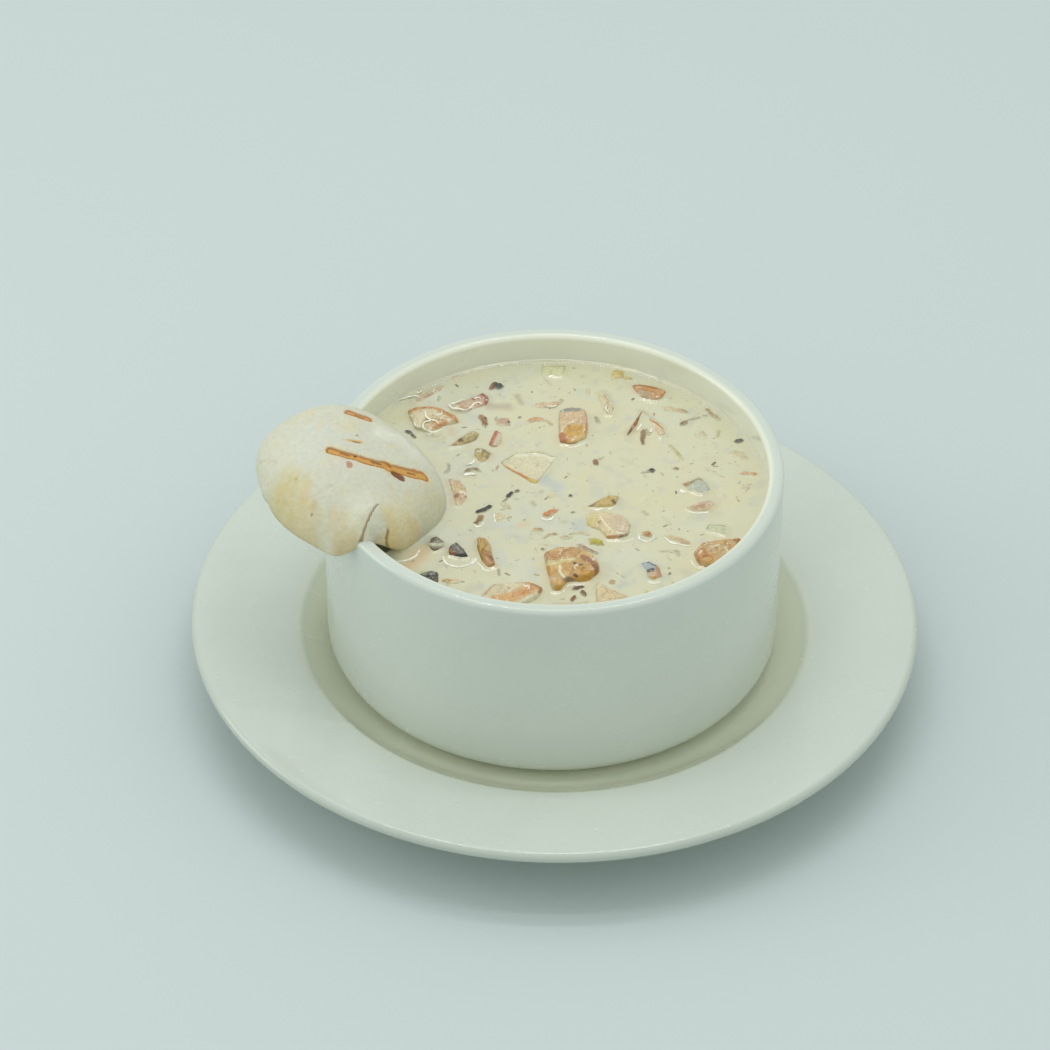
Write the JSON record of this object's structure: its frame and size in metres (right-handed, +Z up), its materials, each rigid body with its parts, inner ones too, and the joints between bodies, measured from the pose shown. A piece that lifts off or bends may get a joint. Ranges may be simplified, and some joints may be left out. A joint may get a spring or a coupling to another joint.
{
  "type": "mushroom chowder in a bowl on a saucer",
  "caption": "Creamy mushroom chowder in a straight-sided white bowl standing on its saucer, with a grilled mushroom cap lying over the rim.",
  "frame": {"origin": "centre of the saucer's foot, on the surface it stands on", "axes": "+Z up; seen from the front, along +Y, +X points right and the mushroom cap lies on the left of the rim"},
  "size_m": [0.1932, 0.1932, 0.0808],
  "materials": {
    "glaze": "glossy white glaze",
    "soup": "wet pale cream soup",
    "cap": "matte ivory mushroom skin with browned grill marks",
    "browned": "wet browned mushroom",
    "pale": "wet pale tan mushroom flesh",
    "grey": "wet grey-brown mushroom",
    "dark": "wet dark mushroom gills",
    "leek": "wet pale green leek"
  },
  "bodies": {
    "root": {"saucer": "glaze", "bowl": "glaze", "soup": "soup", "mushroom_cap": "cap", "chunk_front": "browned", "cube_amber": "browned", "slice_front": "browned", "chunk_right": "browned", "chunk_pale": "pale", "slice_back_left": "pale", "slice_pink": "browned", "slice_back_right": "browned", "triangle_pale": "pale", "wedge_left": "browned", "wedge_right": "pale", "crescent": "browned", "wedge_pink": "pale", "piece_front": "pale", "piece_brown_edge": "grey", "piece_tan": "pale", "gill_wedge": "dark", "gill_slice": "dark", "gill_front": "dark", "leek_back": "leek", "leek_right": "leek", "slice_brown_left": "grey", "cube_red": "browned", "piece_left": "grey", "piece_centre": "pale", "arch_back": "pale", "piece_blue": "grey", "piece_back_left": "pale", "slice_rim": "pale"}
  },
  "joints": []
}
